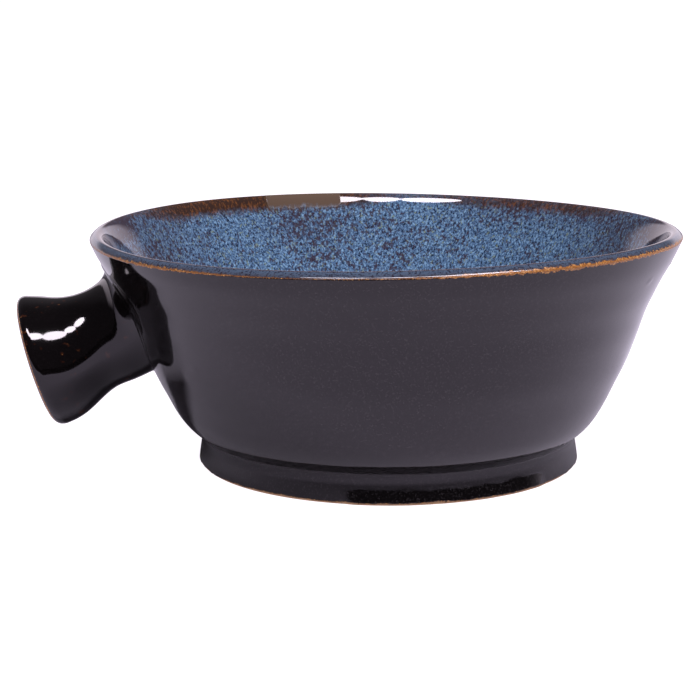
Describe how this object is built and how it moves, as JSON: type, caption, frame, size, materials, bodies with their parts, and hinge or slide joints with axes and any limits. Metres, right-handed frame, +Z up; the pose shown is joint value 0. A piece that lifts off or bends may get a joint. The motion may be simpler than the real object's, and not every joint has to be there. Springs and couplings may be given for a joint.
{
  "type": "shaving mug",
  "caption": "Wide flaring shaving lather bowl on a turned foot ring, with a short hollow trumpet handle on one side.",
  "frame": {"origin": "centre of the bounding box's footprint, on the plane the foot stands on; the bowl's own upright axis is 8.9 mm from it towards +X", "axes": "+Z up out of the bowl, the handle points along -X (tilted 22.4 degrees down), and X-Z is the plane of symmetry"},
  "size_m": [0.1582, 0.1404, 0.056],
  "materials": {
    "bare_stoneware": "unglazed fired stoneware, buff to terracotta, sanded matte",
    "black_glaze": "glossy black-brown iron glaze that breaks amber where it is thin",
    "blue_glaze": "glossy speckled floating-blue glaze that breaks olive-brown at the lip"
  },
  "bodies": {
    "root": {"bowl_body": "bare_stoneware", "foot_ring": "bare_stoneware", "handle": "bare_stoneware", "handle_joint": "black_glaze", "outer_glaze": "black_glaze", "inner_glaze": "blue_glaze", "handle_glaze": "black_glaze", "base_glaze": "black_glaze"}
  },
  "joints": []
}
